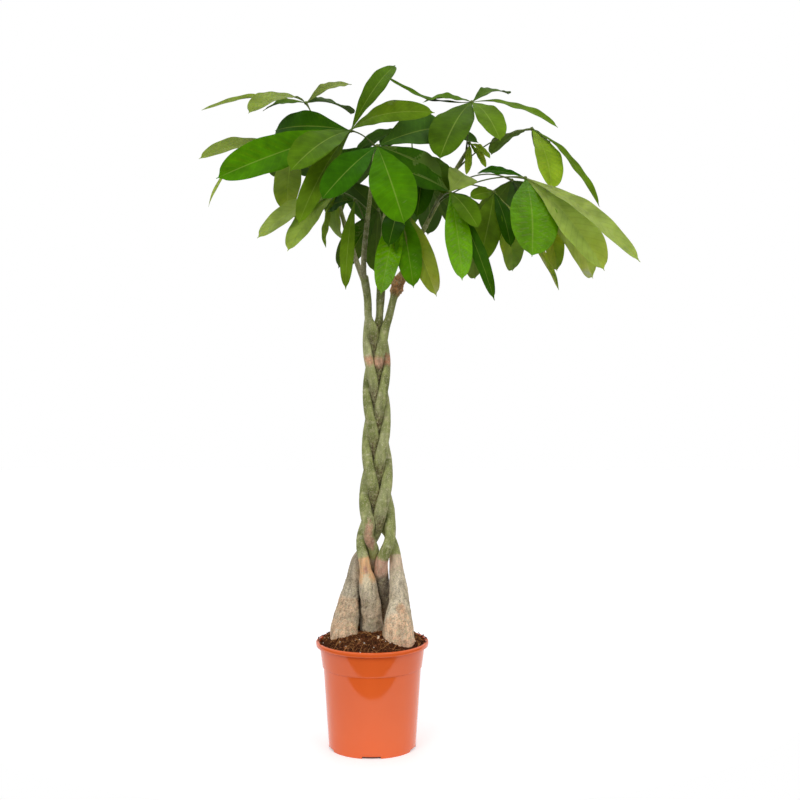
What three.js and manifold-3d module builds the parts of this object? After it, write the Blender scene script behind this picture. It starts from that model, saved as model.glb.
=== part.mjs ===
// Potted money tree: five stems braided into one trunk, palmate leaves, in a plain plastic nursery pot.
// Millimetres, +Z up. The origin is on the pot's axis, in the plane that its foot stands on.
import * as THREE from 'three';
import { mergeVertices } from 'three/addons/utils/BufferGeometryUtils.js';
import Module from 'manifold-3d';

const wasm = await Module();
wasm.setup();

// ---- driving dimensions ----

const gap = 0.3; // clearance between neighbouring pieces

const pot = {
  sides: 40,
  height: 200,
  lipRadius: 105,
  lipHeight: 9,
  collarTopRadius: 98.5, // outside, under the lip
  collarFootRadius: 93.2, // outside, at the step
  stepHeight: 152,
  wallTopRadius: 91.4, // outside, under the step
  footRadius: 81.4,
  wall: 1.9,
  floorHeight: 5, // underside of the floor above the table
  floorThickness: 2.2,
  footRing: 3, // wall of the ring that it stands on
  padRadius: 26, // flat pad in the middle of the floor, level with the ring
  padSlope: 3, // how far the pad's side runs out from its flat
  notches: 5,
  notchWidth: 34,
  notchHeight: 4.4,
  drainHoles: 5,
  drainRadius: 7,
  drainCircle: 52,
};

const soil = {
  edgeHeight: 196,
  crown: 22, // how far the heap rises above its edge
  crumb: 1.6, // height of its small bumps
};

const braid = {
  axisX: 8.5, // the trunk stands a little right of the pot's axis
  pitch: 475, // height in which a stem goes once round the figure of eight
  startHeight: 354, // here the back stem passes the middle
  press: 0.16, // the stems are pressed together where they cross, by this part of the reach
  from: 420,
  to: 780,
  step: 24,
  // What gets less upwards: [height, size] where that starts and where it ends.
  reach: [[330, 24], [620, 16]], // to each side
  depth: [[400, 19.4], [760, 15]], // to front and back
  radius: [[340, 9.85], [700, 7.05]], // of a stem
};

const stemSection = {
  sides: 9,
  ripple: 0.05, // the swollen feet are this much out of round
  rippleTop: 300, // height at which that ends
};

const blade = {
  thickness: 0.9,
  rootThickness: 2.6,
  fold: 0.2, // how far each half is turned up from the rib
  wave: 2, // height of the waves along the edge
  waves: 1.6,
  stations: [0, 0.18, 0.42, 0.65, 0.87, 1], // along the rib
  fewStations: [0, 0.28, 0.62, 0.87, 1], // along the rib of a small leaflet
  smallArea: 9000, // a leaflet is small when its length times its width is less
  broadEnd: 1.5, // above 1 the leaflet is broadest past its middle
  blunt: 0.62,
  rootHalfWidth: 1.4,
  tipHalfWidth: 0.6,
  arch: 0.09, // rise of the rib above its chord, as a part of its length
};

const stalk = {
  sides: 5,
  steps: 4,
  radius: 1.9,
  hubRadius: 3.6,
  past: 2.4, // runs on past the hub, so that the leaflets' roots lie inside it
  rise: 0.1, // bow of the stalk, as a part of its length
};

// ---- materials ----

const plastic = new THREE.MeshStandardMaterial({ color: 0xe4703f, roughness: 0.35, metalness: 0 });
const peat = new THREE.MeshStandardMaterial({ color: 0x4a2c1c, roughness: 0.95, metalness: 0 });
const bark = new THREE.MeshStandardMaterial({ color: 0x9a9a72, roughness: 0.8, metalness: 0 });
const foliage = new THREE.MeshStandardMaterial({ color: 0x4f8a1c, roughness: 0.45, metalness: 0 });

const plant = new THREE.Group();

// ---- solids ----

function solidOf(geometry) {
  const bare = geometry.clone();
  bare.deleteAttribute('normal');
  bare.deleteAttribute('uv');
  const merged = mergeVertices(bare, 1e-4);
  const corners = merged.index.array;
  const kept = [];
  for (let i = 0; i < corners.length; i += 3) {
    const [a, b, c] = corners.slice(i, i + 3);
    if (a !== b && b !== c && c !== a) kept.push(a, b, c);
  }
  return new wasm.Manifold(new wasm.Mesh({
    numProp: 3,
    vertProperties: new Float32Array(merged.attributes.position.array),
    triVerts: new Uint32Array(kept),
  }));
}

function addPiece(name, solid, material) {
  const { vertProperties, triVerts } = solid.getMesh();
  const geometry = new THREE.BufferGeometry();
  geometry.setAttribute('position', new THREE.BufferAttribute(vertProperties, 3));
  geometry.setIndex(new THREE.BufferAttribute(triVerts, 1));
  geometry.computeVertexNormals();
  const mesh = new THREE.Mesh(geometry, material);
  mesh.name = name;
  plant.add(mesh);
}

// A closed tube through rings: each ring has a centre, a radius for each angle, and the run of the tube there.
function tube(rings, sides, radiusAt) {
  const geometry = new THREE.CylinderGeometry(1, 1, 1, sides, rings.length - 1);
  const position = geometry.attributes.position;
  const point = new THREE.Vector3();
  for (let i = 0; i < position.count; i += 1) {
    point.fromBufferAttribute(position, i);
    const ring = Math.round((point.y + 0.5) * (rings.length - 1));
    const { centre, across, beside } = rings[ring];
    const reach = Math.hypot(point.x, point.z) < 0.5 ? 0 : radiusAt(ring, Math.atan2(point.z, point.x));
    const angle = Math.atan2(point.z, point.x);
    point.copy(centre)
      .addScaledVector(across, reach * Math.cos(angle))
      .addScaledVector(beside, reach * Math.sin(angle));
    position.setXYZ(i, point.x, point.y, point.z);
  }
  return solidOf(geometry);
}

// Rings square to a line of centres, all turned the same way round so that the tube doesn't twist.
function ringsAlong(centres) {
  return centres.map((centre, i) => {
    const before = centres[Math.max(i - 1, 0)];
    const after = centres[Math.min(i + 1, centres.length - 1)];
    const run = after.clone().sub(before).normalize();
    const across = new THREE.Vector3(1, 0, 0).addScaledVector(run, -run.x).normalize();
    const beside = across.clone().cross(run);
    return { centre, across, beside };
  });
}

// ---- pot ----

function potSolid() {
  const inner = pot.wall;
  const outline = [
    [0, 0],
    [pot.padRadius, 0],
    [pot.padRadius + pot.padSlope, pot.floorHeight],
    [pot.footRadius - pot.footRing, pot.floorHeight],
    [pot.footRadius - pot.footRing, 0],
    [pot.footRadius - 0.8, 0],
    [pot.footRadius, 1],
    [pot.wallTopRadius, pot.stepHeight - 0.6],
    [pot.collarFootRadius, pot.stepHeight + 0.6],
    [pot.collarTopRadius, pot.height - pot.lipHeight],
    [pot.lipRadius - 1.2, pot.height - pot.lipHeight + 0.4],
    [pot.lipRadius, pot.height - pot.lipHeight + 2],
    [pot.lipRadius, pot.height - 2],
    [pot.lipRadius - 1.6, pot.height - 0.3],
    [pot.lipRadius - 3.4, pot.height],
    [pot.collarTopRadius - 0.4, pot.height - 0.8],
    [pot.collarTopRadius - inner, pot.height - pot.lipHeight],
    [pot.wallTopRadius - inner, pot.stepHeight - 0.6],
    [pot.footRadius + 0.4 - inner, pot.floorHeight + pot.floorThickness + 4],
    [pot.footRadius - inner - 3, pot.floorHeight + pot.floorThickness],
    [pot.padRadius + pot.padSlope - 1.5, pot.floorHeight + pot.floorThickness],
    [pot.padRadius - 1.5, pot.floorThickness],
    [0, pot.floorThickness],
  ].map(([radius, height]) => new THREE.Vector2(radius, height));
  let solid = solidOf(new THREE.LatheGeometry(outline, pot.sides).rotateX(Math.PI / 2));

  for (let i = 0; i < pot.notches; i += 1) {
    const turn = -Math.PI / 2 + (i / pot.notches) * 2 * Math.PI;
    const notch = new THREE.BoxGeometry(24, pot.notchWidth, 2 * pot.notchHeight);
    notch.translate(pot.footRadius, 0, 0);
    notch.rotateZ(turn);
    solid = solid.subtract(solidOf(notch));
  }
  for (let i = 0; i < pot.drainHoles; i += 1) {
    const turn = Math.PI / 2 + (i / pot.drainHoles) * 2 * Math.PI;
    const drill = new THREE.CylinderGeometry(pot.drainRadius, pot.drainRadius, 40, 16).rotateX(Math.PI / 2);
    drill.translate(pot.drainCircle * Math.cos(turn), pot.drainCircle * Math.sin(turn), 0);
    solid = solid.subtract(solidOf(drill));
  }
  return solid;
}

addPiece('pot', potSolid(), plastic);

// ---- stems ----

// Each stem stands in the soil, leans in to the braid and leaves it again at the top.
// foot and top: rows of [height, x, y, radius]. phase: degrees round the figure of eight at braid.startHeight.
const stems = [
  {
    name: 'stem_left',
    phase: 324,
    foot: [[150, -51, -24, 17], [205, -52, -19, 25.5], [240, -49, -8, 24], [275, -41, 10, 20.2], [313, -33, 15, 16],
      [332, -30, 14, 14.2], [350, -26, 12, 12], [370, -12, 15, 9.9], [385, -1, 13.5, 9.7], [400, 6.5, 4, 9.7]],
    top: [[800, -7, 11, 6.8], [836, -8, 13, 6.8], [880, -14, 17, 6.6]],
  },
  {
    name: 'stem_middle',
    phase: 252,
    foot: [[150, -2, 6, 15], [205, -2, 6, 20.5], [240, -2, 3, 20.2], [275, -4, -4, 18.4], [313, -9, -9.5, 15.6],
      [332, -12, -11.5, 11.4], [350, -14.5, -12.5, 10.3], [370, -19, -8.5, 9.8], [385, -20, -0.5, 9.7],
      [400, -18, 9.5, 9.6]],
    top: [[800, -6, -10, 6.9], [836, -8, -12, 6.9], [878, -15, -16, 6.8]],
  },
  {
    name: 'stem_right',
    phase: 108,
    foot: [[150, 46, -38, 18], [205, 48, -40, 29], [240, 48, -37, 27], [275, 50, -24, 19.4], [313, 47, -12, 15.6],
      [332, 45, -4, 13.3], [350, 43.5, 2.5, 11.6], [370, 40, 12, 10.6], [385, 35, 17, 10], [400, 28.5, 18.5, 9.8]],
    top: [[800, 31, -4, 7], [836, 40, -4, 6.9], [856, 47, -5, 8.4], [876, 53, -6, 9.6]],
  },
  {
    name: 'stem_centre',
    phase: 36,
    foot: [[150, 29, 44, 15], [205, 29, 44, 20], [240, 27, 40, 19], [275, 22, 26, 16.4], [313, 18, 5, 13.6],
      [332, 17, -5, 12.6], [350, 18, -10, 11.7], [370, 25, -16, 10.6], [385, 31, -16, 10], [400, 34, -12, 9.8]],
    top: [[800, 13, -7, 6.3], [836, 14, -7, 5.9], [882, 16, -10, 6.3]],
  },
  {
    name: 'stem_back',
    phase: 180,
    foot: [[150, -30, 54, 15], [205, -29, 54, 20], [240, -24, 51, 18.6], [275, -13, 43, 15.2], [313, -2, 28, 12.2],
      [332, 1, 17, 11.4], [350, 1.5, 7.5, 10.6], [370, 3, -4.5, 9.9], [385, -2, -12.5, 9.7], [400, -7, -17.5, 9.7]],
    top: [[800, 14, 9, 6.6], [836, 17, 13, 6.5], [880, 20, 20, 6.3]],
  },
];

function thinning([[from, most], [to, least]], height) {
  return THREE.MathUtils.lerp(most, least, THREE.MathUtils.smoothstep(height, from, to));
}

function stemRows(stem) {
  const rows = stem.foot.map((row) => [...row]);
  for (let height = braid.from; height <= braid.to; height += braid.step) {
    const turn = THREE.MathUtils.degToRad(stem.phase + ((height - braid.startHeight) / braid.pitch) * 360);
    rows.push([
      height,
      braid.axisX + thinning(braid.reach, height) * (Math.sin(turn) - braid.press * Math.sin(3 * turn)),
      -thinning(braid.depth, height) * Math.sin(2 * turn),
      thinning(braid.radius, height),
    ]);
  }
  rows.push(...stem.top);
  return rows;
}

function stemSolid(stem, extra = 0) {
  const rows = stemRows(stem);
  rows[0][0] -= extra;
  rows[rows.length - 1][0] += extra;
  const rings = ringsAlong(rows.map(([height, x, y]) => new THREE.Vector3(x, y, height)));
  return tube(rings, stemSection.sides, (ring, angle) => {
    const [height, , , radius] = rows[ring];
    const swollen = THREE.MathUtils.smoothstep(stemSection.rippleTop - height, 0, 60);
    return radius * (1 + stemSection.ripple * swollen * Math.sin(3 * angle + stem.phase)) + extra;
  });
}

for (const stem of stems) {
  addPiece(stem.name, stemSolid(stem), bark);
}

// ---- soil ----

function soilSolid() {
  const inside = pot.wall + gap;
  const bottom = pot.floorHeight + pot.floorThickness + gap;
  const edge = THREE.MathUtils.mapLinear(soil.edgeHeight, pot.stepHeight, pot.height - pot.lipHeight,
    pot.collarFootRadius, pot.collarTopRadius) - inside - 0.6;
  const outline = [
    [0, bottom - pot.floorHeight],
    [pot.padRadius - 1.8, bottom - pot.floorHeight],
    [pot.padRadius + pot.padSlope - 1.8, bottom],
    [pot.footRadius - inside - 3.4, bottom],
    [pot.footRadius - inside, bottom + 4],
    [pot.wallTopRadius - inside - 0.2, pot.stepHeight - 0.6],
    [edge, soil.edgeHeight],
    [0.72 * edge, soil.edgeHeight],
    [0.5 * edge, soil.edgeHeight],
    [0.25 * edge, soil.edgeHeight],
    [0, soil.edgeHeight],
  ].map(([radius, height]) => new THREE.Vector2(radius, height));
  const heap = new THREE.LatheGeometry(outline, pot.sides).rotateX(Math.PI / 2);
  const position = heap.attributes.position;
  for (let i = 0; i < position.count; i += 1) {
    const x = position.getX(i);
    const y = position.getY(i);
    const part = Math.hypot(x, y) / edge;
    if (position.getZ(i) > soil.edgeHeight - 1 && part < 0.99) {
      const crumbs = soil.crumb * Math.sin(0.21 * x + 1) * Math.sin(0.17 * y) * (1 - part);
      position.setZ(i, soil.edgeHeight + soil.crown * (1 - part ** 4) + crumbs);
    }
  }
  return stems.reduce((left, stem) => left.subtract(stemSolid(stem, gap)), solidOf(heap));
}

addPiece('soil', soilSolid(), peat);

// ---- leafy shoots ----

// Leaflets spread like a fan: they get shorter and hang lower towards its two ends.
function fan(middle, spread, count, drop, length, width) {
  return Array.from({ length: count }, (unused, i) => {
    const side = (2 * i) / (count - 1) - 1;
    return [
      middle + 0.5 * spread * side,
      drop + 14 * side * side + 5 * Math.sin(3 * i + middle),
      length * (1 - 0.2 * side * side),
      width * (1 - 0.15 * side * side),
    ];
  });
}

// curve: four control points of the shoot's axis, the first one inside the stem that it grows from.
// A leaf's stalk leaves the shoot at the part `at` of its run and ends in the hub; face is where the leaf looks.
// leaflets: [turn from +X towards +Y, drop below level, length, width, arch], degrees and millimetres.
const shoots = [
  {
    name: 'leafy_shoot_left',
    stem: 'stem_left',
    curve: [[-14, 16, 866], [-30, 25, 900], [-60, 35, 1000], [-90, 50, 1110]],
    leaves: [
      {
        at: 1,
        hub: [-125, 70, 1204],
        face: [0, -0.6, 1],
        leaflets: [[-126, 14, 165, 52, 0.13], [-160, 7, 200, 18], [51, -22, 140, 34], [52, 2, 132, 58], [150, 4, 100, 30]],
      },
      {
        at: 0.85,
        hub: [-144, 40, 1116],
        face: [-0.3, -0.7, 1],
        leaflets: [[-157, 9, 185, 58], [180, 34, 195, 18, 0.22], [-95, 57, 150, 54]],
      },
      {
        at: 0.72,
        hub: [-168, 130, 1122],
        face: [-0.4, 0.4, 1],
        leaflets: fan(120, 170, 6, 16, 125, 48),
      },
      {
        at: 0.9,
        hub: [-66, 168, 1078],
        face: [-0.2, 0.8, 0.9],
        leaflets: fan(98, 165, 5, 31, 155, 50),
      },
    ],
  },
  {
    name: 'leafy_shoot_front',
    stem: 'stem_middle',
    curve: [[-13, -15, 868], [-21, -32, 905], [0, -50, 1010], [7, -42, 1108]],
    leaves: [
      {
        at: 1,
        hub: [-36, -60, 1133],
        face: [-0.2, -1, 0.4],
        leaflets: [[49, -48, 180, 38], [-35, -5, 180, 42, 0.15], [144, -5, 180, 60], [-160, 21, 262, 76, 0.04], [-127, 28, 185, 66],
          [-134, 54, 215, 45]],
      },
      {
        at: 0.93,
        hub: [12, -120, 1098],
        face: [0, -1, 0.35],
        leaflets: [[-63, 54, 177, 78], [-138, 39, 160, 56], [39, -16, 165, 70], [22, 22, 134, 46]],
      },
      {
        at: 0.6,
        hub: [-61, -20, 1029],
        face: [-0.4, -1, 0.5],
        leaflets: [[-149, 29, 185, 40], [-135, 43, 165, 45], [108, 48, 130, 18], [88, 42, 120, 50]],
      },
      {
        at: 0.5,
        hub: [-29, -60, 1010],
        face: [-0.2, -1, 0.3],
        leaflets: [[-100, 64, 180, 26], [124, 5, 90, 30]],
      },
    ],
  },
  {
    name: 'leafy_shoot_middle',
    stem: 'stem_centre',
    curve: [[16, -9, 868], [22, -10, 910], [45, 0, 1010], [75, 15, 1100]],
    leaves: [
      {
        at: 0.55,
        hub: [52, -60, 1001],
        face: [0, -1, 0.35],
        leaflets: [[-112, 61, 185, 44], [-73, 62, 170, 46], [-48, 60, 190, 42], [-103, 41, 120, 40]],
      },
      {
        at: 1,
        hub: [70, 130, 1165],
        face: [0, 0.3, 1],
        leaflets: fan(60, 210, 5, 6, 145, 48),
      },
      {
        at: 0.8,
        hub: [100, 40, 1104],
        face: [0, -1, 0.45],
        leaflets: [[-125, 47, 160, 54], [-102, 55, 150, 50], [-62, 44, 120, 48], [-168, 36, 100, 40]],
      },
    ],
  },
  {
    name: 'leafy_shoot_right',
    stem: 'stem_right',
    curve: [[46, -6, 862], [66, -20, 900], [120, -20, 1020], [178, 0, 1110]],
    leaves: [
      {
        at: 0.97,
        hub: [183, 0, 1194],
        face: [0, -0.5, 1],
        leaflets: [[165, -19, 175, 15, -0.1], [160, -3, 95, 32], [56, -14, 140, 40], [-36, 19, 190, 24],
          [-117, 41, 182, 74], [-69, 35, 150, 50]],
      },
      {
        at: 0.85,
        hub: [295, 20, 1148],
        face: [0.4, -0.6, 0.8],
        leaflets: [[127, 17, 120, 46], [-72, 53, 150, 58], [-40, 46, 210, 22], [80, 10, 140, 46]],
      },
      {
        at: 1,
        hub: [178, -5, 1119],
        face: [0.3, -1, 0.5],
        leaflets: [[-39, 51, 60, 14], [-45, 32, 60, 14], [-101, 60, 70, 14]],
      },
      {
        at: 0.65,
        hub: [274, -80, 1047],
        face: [0.35, -1, 0.5],
        leaflets: [[-88, 57, 172, 90], [-30, 48, 225, 70], [32, 48, 235, 72], [-34, 35, 270, 35], [44, 61, 185, 50],
          [138, -9, 110, 22]],
      },
      {
        at: 0.75,
        hub: [221, -40, 1026],
        face: [0.2, -1, 0.5],
        leaflets: [[-109, 54, 165, 50], [65, 54, 170, 54], [-72, 52, 130, 32], [-140, 12, 60, 26], [32, 49, 230, 16]],
      },
      {
        at: 0.55,
        hub: [139, -110, 1019],
        face: [0.1, -1, 0.4],
        leaflets: [[-78, 61, 180, 46], [-43, 62, 216, 26], [-58, 38, 110, 38], [65, 51, 190, 46],
          [-160, -20, 110, 44], [68, -24, 95, 56]],
      },
      {
        at: 0.7,
        hub: [270, 160, 1070],
        face: [0.5, 0.7, 0.9],
        leaflets: fan(50, 180, 6, 28, 160, 54),
      },
    ],
  },
  {
    name: 'leafy_shoot_back',
    stem: 'stem_back',
    curve: [[20, 18, 866], [10, 45, 905], [25, 90, 1000], [35, 120, 1115]],
    leaves: [
      {
        at: 1,
        hub: [22, 192, 1138],
        face: [0, 0.5, 1],
        leaflets: fan(100, 230, 6, 22, 165, 54),
      },
      {
        at: 0.75,
        hub: [110, 210, 1060],
        face: [0.2, 0.9, 0.9],
        leaflets: fan(70, 200, 6, 32, 165, 54),
      },
      {
        at: 0.5,
        hub: [10, 130, 1010],
        face: [0, 1, 0.6],
        leaflets: fan(95, 180, 5, 44, 160, 52),
      },
    ],
  },
];

function leafletSolid(hub, face, [turn, drop, length, width, arch = blade.arch], phase) {
  const stations = length * width < blade.smallArea ? blade.fewStations : blade.stations;
  const spans = stations.length - 1;
  const geometry = new THREE.BoxGeometry(2, 1, 1, 2, 1, spans);
  // The underside's quads are split the other way, so that both faces of a waved blade are split alike.
  const corners = geometry.index.array;
  for (let i = 24 * spans; i < 36 * spans; i += 6) {
    const [a, b, d, , c] = corners.slice(i, i + 6);
    corners.set([a, b, c, a, c, d], i);
  }
  const chord = new THREE.Vector3().setFromSphericalCoords(1, THREE.MathUtils.degToRad(90 + drop), 0);
  chord.set(chord.z, 0, chord.y).applyAxisAngle(new THREE.Vector3(0, 0, 1), THREE.MathUtils.degToRad(turn));
  const up = new THREE.Vector3(...face);
  up.addScaledVector(chord, -up.dot(chord)).normalize();
  const side = up.clone().cross(chord);
  const position = geometry.attributes.position;
  const point = new THREE.Vector3();
  const normal = new THREE.Vector3();
  for (let i = 0; i < position.count; i += 1) {
    point.fromBufferAttribute(position, i);
    const across = point.x;
    const upper = Math.sign(point.y);
    const along = stations[Math.round((point.z + 0.5) * spans)];
    const bulge = Math.sin(Math.PI * along ** blade.broadEnd) ** blade.blunt;
    const least = THREE.MathUtils.lerp(blade.rootHalfWidth, blade.tipHalfWidth, along);
    const half = Math.max((width / 2) * bulge, least);
    const slope = 4 * arch * (1 - 2 * along);
    normal.copy(up).addScaledVector(chord, -slope).normalize();
    const wave = Math.sin(2 * Math.PI * blade.waves * along + phase) * Math.sin(Math.PI * along);
    const lift = blade.fold * half * Math.abs(across) + blade.wave * wave * across * across;
    const thick = THREE.MathUtils.lerp(blade.rootThickness, blade.thickness, THREE.MathUtils.smoothstep(along, 0, 0.2));
    point.set(...hub)
      .addScaledVector(chord, length * along)
      .addScaledVector(up, length * arch * 4 * along * (1 - along))
      .addScaledVector(side, half * across)
      .addScaledVector(normal, lift + 0.5 * thick * upper);
    position.setXYZ(i, point.x, point.y, point.z);
  }
  return solidOf(geometry);
}

function stalkSolid(start, hub) {
  const end = new THREE.Vector3(...hub);
  const length = start.distanceTo(end);
  const middle = start.clone().lerp(end, 0.5);
  middle.z += 2 * stalk.rise * length;
  const curve = new THREE.QuadraticBezierCurve3(start, middle, end);
  const centres = curve.getPoints(stalk.steps);
  centres.push(end.clone().addScaledVector(curve.getTangent(1), stalk.past));
  return tube(ringsAlong(centres), stalk.sides, (ring) => (ring < stalk.steps ? stalk.radius : stalk.hubRadius));
}

const shootSides = 7;
const shootSteps = 8;
const shootFootRadius = 5.4;
const shootTipRadius = 3.4;

function shootSolid(shoot) {
  const curve = new THREE.CubicBezierCurve3(...shoot.curve.map((place) => new THREE.Vector3(...place)));
  const centres = curve.getPoints(shootSteps);
  const axis = tube(ringsAlong(centres), shootSides,
    (ring) => THREE.MathUtils.lerp(shootFootRadius, shootTipRadius, ring / shootSteps));
  const parts = shoot.leaves.flatMap((leaf, number) => [
    stalkSolid(curve.getPoint(leaf.at), leaf.hub),
    ...leaf.leaflets.map((row, i) => leafletSolid(leaf.hub, leaf.face, row, number + 2 * i)),
  ]);
  const grown = parts.reduce((sum, part) => sum.add(part), axis);
  return grown.subtract(stemSolid(stems.find((stem) => stem.name === shoot.stem), 1.8 * gap));
}

for (const shoot of shoots) {
  addPiece(shoot.name, shootSolid(shoot), foliage);
}

export default plant;
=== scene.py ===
import math
import random

import bmesh
import bpy
from mathutils import Matrix, Vector, noise


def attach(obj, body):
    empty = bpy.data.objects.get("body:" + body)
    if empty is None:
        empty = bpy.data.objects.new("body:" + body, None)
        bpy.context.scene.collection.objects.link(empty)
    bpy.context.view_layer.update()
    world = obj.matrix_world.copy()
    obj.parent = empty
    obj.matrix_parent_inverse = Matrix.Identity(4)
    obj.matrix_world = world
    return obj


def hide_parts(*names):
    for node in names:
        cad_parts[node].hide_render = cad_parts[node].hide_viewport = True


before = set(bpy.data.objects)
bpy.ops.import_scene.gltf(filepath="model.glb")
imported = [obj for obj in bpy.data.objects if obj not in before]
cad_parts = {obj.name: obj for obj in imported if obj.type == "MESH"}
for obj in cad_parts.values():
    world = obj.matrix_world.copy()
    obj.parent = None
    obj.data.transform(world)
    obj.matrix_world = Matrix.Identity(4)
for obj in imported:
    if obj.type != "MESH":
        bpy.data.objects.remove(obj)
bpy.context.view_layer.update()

# Camera: stands a little right of the pot's axis and well above it, and looks slightly down at the
# whole plant.
camera = bpy.data.objects.new("camera", bpy.data.cameras.new("camera"))
camera.data.sensor_width = 36
camera.data.lens = 60.3
camera.location = (0.0517, -2.475, 0.776)
camera.rotation_euler = (math.radians(87.05), 0, 0)
bpy.context.scene.collection.objects.link(camera)
bpy.context.scene.camera = camera

# Table top: matt white laminate. It runs far back and ends in a curve in front of the pot; the dark
# beyond that edge is what the pot's wall mirrors high up in the middle.


def linear(hex_colour):
    channels = [int(hex_colour[i:i + 2], 16) / 255 for i in (1, 3, 5)]
    return [c / 12.92 if c <= 0.04045 else ((c + 0.055) / 1.055) ** 2.4 for c in channels] + [1.0]


def add_node(tree, kind, inputs=None, **settings):
    node = tree.nodes.new(kind)
    for name, value in settings.items():
        setattr(node, name, value)
    for socket, value in (inputs or {}).items():
        if isinstance(value, bpy.types.NodeSocket):
            tree.links.new(value, node.inputs[socket])
        else:
            node.inputs[socket].default_value = value
    return node


def new_material(name, **values):
    material = bpy.data.materials.new(name)
    material.use_nodes = True
    shader = material.node_tree.nodes["Principled BSDF"]
    for socket, value in values.items():
        shader.inputs[socket.replace("_", " ")].default_value = value
    return material, material.node_tree, shader


def new_piece(name, bm, *materials):
    mesh = bpy.data.meshes.new(name)
    bm.to_mesh(mesh)
    bm.free()
    for material in materials:
        mesh.materials.append(material)
    piece = bpy.data.objects.new(name, mesh)
    bpy.context.scene.collection.objects.link(piece)
    return piece


laminate, tree, shader = new_material("white_laminate", Base_Color=linear("#E3E2E4"), Roughness=0.6,
                                      Emission_Color=linear("#FFFFFF"))
# The laminate is bright all round, but not in the pot's own shade, up to 74 mm from its axis.
place = add_node(tree, "ShaderNodeTexCoord").outputs["Object"]
reach = add_node(tree, "ShaderNodeVectorMath", {0: place}, operation="LENGTH").outputs["Value"]
open_part = add_node(tree, "ShaderNodeMapRange", {0: reach, 1: 0.074, 2: 0.08, 4: 0.42}).outputs[0]
rays = add_node(tree, "ShaderNodeLightPath").outputs["Is Diffuse Ray"]
glow = add_node(tree, "ShaderNodeMath", {0: 1.0, 1: rays}, operation="SUBTRACT").outputs[0]
glow = add_node(tree, "ShaderNodeMath", {0: glow, 1: open_part}, operation="MULTIPLY").outputs[0]
tree.links.new(glow, shader.inputs["Emission Strength"])
table_front, front_curve, table_back, table_side = -0.35, 1.0, 5.0, 4.0
bm = bmesh.new()
rim = [(table_side, table_back), (-table_side, table_back), (-table_side, table_front + front_curve)]
for degrees in range(-90, 91, 2):
    turn = math.radians(degrees)
    rim.append((front_curve * math.sin(turn), table_front + front_curve * (1 - math.cos(turn))))
rim.append((table_side, table_front + front_curve))
bm.faces.new([bm.verts.new((x, y, 0)) for x, y in rim])
table = new_piece("table_top", bm, laminate)

# Light: a white tent all round, with large soft boxes in front on the left and on the right, and one
# overhead. What lies below the table's edge is dark; the camera itself sees plain white.
for name, place, size, watts, tint in (
    ("key_light", (-1.0, -2.2, 2.0), 1.2, 20, "#FFFFFF"),
    ("fill_light", (1.5, -2.0, 1.5), 1.4, 13, "#FFFCF8"),
    ("top_light", (0.1, 0.3, 2.9), 1.6, 10, "#FFFFFF"),
):
    lamp = bpy.data.lights.new(name, "AREA")
    lamp.size = size
    lamp.energy = watts
    lamp.color = linear(tint)[:3]
    light = bpy.data.objects.new(name, lamp)
    light.location = place
    light.rotation_euler = (Vector((0, 0, 0.75)) - Vector(place)).to_track_quat("-Z", "Y").to_euler()
    bpy.context.scene.collection.objects.link(light)

world = bpy.data.worlds.new("studio")
world.use_nodes = True
bpy.context.scene.world = world
tree = world.node_tree
rays = add_node(tree, "ShaderNodeLightPath")
around = add_node(tree, "ShaderNodeTexCoord")
split = add_node(tree, "ShaderNodeSeparateXYZ", {0: around.outputs["Generated"]})
above = add_node(tree, "ShaderNodeMapRange", {0: split.outputs["Z"], 1: -0.06, 2: 0.06, 3: 0.04, 4: 0.74})
seen = add_node(tree, "ShaderNodeMix", {0: rays.outputs["Is Camera Ray"], 2: above.outputs[0], 3: 1.0})
backdrop = tree.nodes["Background"]
backdrop.inputs["Color"].default_value = linear("#FFFFFF")
tree.links.new(seen.outputs[0], backdrop.inputs["Strength"])
bpy.context.scene.view_settings.view_transform = "Standard"

# Pot: injection-moulded polypropylene, one moulding with a rolled lip, a collar with a step, a tapered
# wall and a foot ring with five water notches. Smooth from the mould, so it mirrors softly; dyed right
# through. The profile gives radius and height in millimetres, from the centre pad out, up and back in.
pot_profile = [
    (0, 0), (26, 0), (29, 5), (78.4, 5), (78.4, 0.4), (78.8, 0), (80.6, 0), (81.4, 1), (81.9, 8),
    (91.3, 151.2), (91.6, 151.6), (93.0, 152.3), (93.3, 152.9), (93.44, 154), (98.06, 189.2),
    (98.2, 190.3), (98.6, 191), (103.6, 191.2), (104.6, 191.8), (105, 193), (105, 197.4), (104.6, 198.8),
    (103.6, 199.7), (102, 200), (100, 199.8), (98.4, 199), (97.8, 197.6), (96.6, 190), (91.7, 153.4),
    (89.5, 150.4), (79.9, 11), (76.5, 7.2), (27.5, 7.2), (24.5, 2.2), (0, 2.2),
]
pot_turns = 120
foot_radius = 81.4
notch_count, notch_width, notch_height, notch_reach = 5, 34, 4.4, 24
drain_radius, drain_circle, drill_length = 7, 52, 40

polypropylene, tree, shader = new_material("moulded_polypropylene", Roughness=0.07, IOR=1.49)
place = add_node(tree, "ShaderNodeTexCoord").outputs["Object"]
cloud = add_node(tree, "ShaderNodeTexNoise", {"Vector": place, "Scale": 9.0, "Detail": 3.0})
dye = add_node(tree, "ShaderNodeMix", {0: cloud.outputs[0], 6: linear("#EE6427"), 7: linear("#F37034")},
               data_type="RGBA")
tree.links.new(dye.outputs[2], shader.inputs["Base Color"])
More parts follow.
